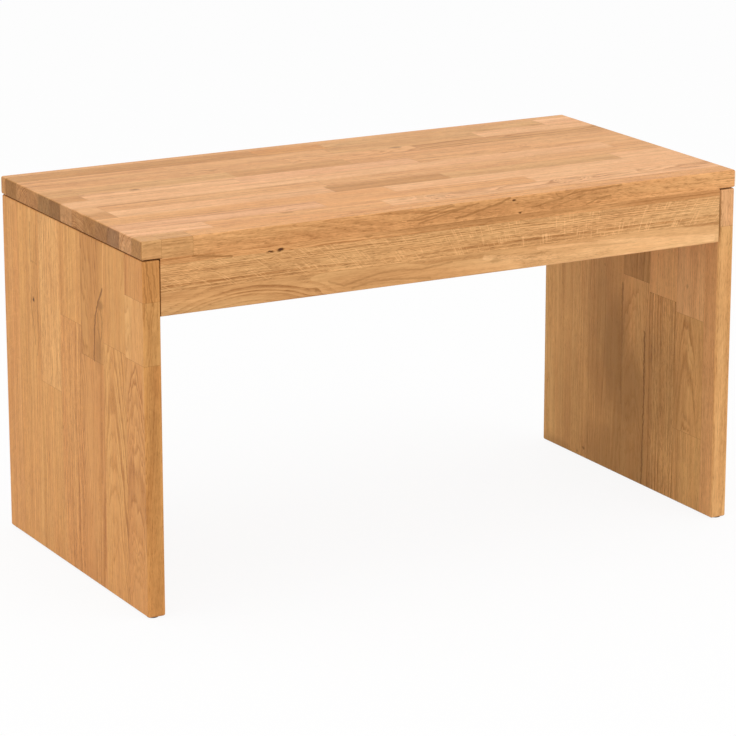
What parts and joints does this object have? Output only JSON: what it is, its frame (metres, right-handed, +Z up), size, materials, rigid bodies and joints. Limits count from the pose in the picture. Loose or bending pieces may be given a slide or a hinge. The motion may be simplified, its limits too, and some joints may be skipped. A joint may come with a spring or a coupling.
{
  "type": "bench",
  "caption": "Plain bench of stave-glued oak: a flat seat board on full-depth side panels, tied by shallow aprons glued under the seat, for sitting on.",
  "frame": {"origin": "on the floor under the middle of the bench", "axes": "+X along the seat's length, +Y from the front to the back, +Z up; the front apron faces -Y"},
  "size_m": [0.81, 0.405, 0.45],
  "materials": {
    "oak": "oiled stave-glued oak, edges eased",
    "beech": "turned beech dowel, unfinished",
    "cam_zinc": "die-cast zinc, as cast",
    "bolt_steel": "zinc-plated steel",
    "glide_plastic": "moulded dark brown plastic"
  },
  "bodies": {
    "root": {"seat_board": "oak", "left_side_panel": "oak", "right_side_panel": "oak", "front_apron": "oak", "rear_apron": "oak", "front_apron_left_bolt": "bolt_steel", "front_apron_left_cam": "cam_zinc", "front_apron_left_dowel_lower": "beech", "front_apron_left_dowel_upper": "beech", "rear_apron_left_bolt": "bolt_steel", "rear_apron_left_cam": "cam_zinc", "rear_apron_left_dowel_lower": "beech", "rear_apron_left_dowel_upper": "beech", "front_apron_right_bolt": "bolt_steel", "front_apron_right_cam": "cam_zinc", "front_apron_right_dowel_lower": "beech", "front_apron_right_dowel_upper": "beech", "rear_apron_right_bolt": "bolt_steel", "rear_apron_right_cam": "cam_zinc", "rear_apron_right_dowel_lower": "beech", "rear_apron_right_dowel_upper": "beech", "seat_left_front_bolt": "bolt_steel", "seat_left_front_cam": "cam_zinc", "seat_left_front_dowel": "beech", "seat_left_rear_bolt": "bolt_steel", "seat_left_rear_cam": "cam_zinc", "seat_left_rear_dowel": "beech", "seat_right_front_bolt": "bolt_steel", "seat_right_front_cam": "cam_zinc", "seat_right_front_dowel": "beech", "seat_right_rear_bolt": "bolt_steel", "seat_right_rear_cam": "cam_zinc", "seat_right_rear_dowel": "beech", "seat_front_apron_dowel_1": "beech", "seat_front_apron_dowel_2": "beech", "seat_front_apron_dowel_3": "beech", "seat_rear_apron_dowel_1": "beech", "seat_rear_apron_dowel_2": "beech", "seat_rear_apron_dowel_3": "beech", "glide_left_front": "glide_plastic", "glide_left_rear": "glide_plastic", "glide_right_front": "glide_plastic", "glide_right_rear": "glide_plastic"}
  },
  "joints": []
}
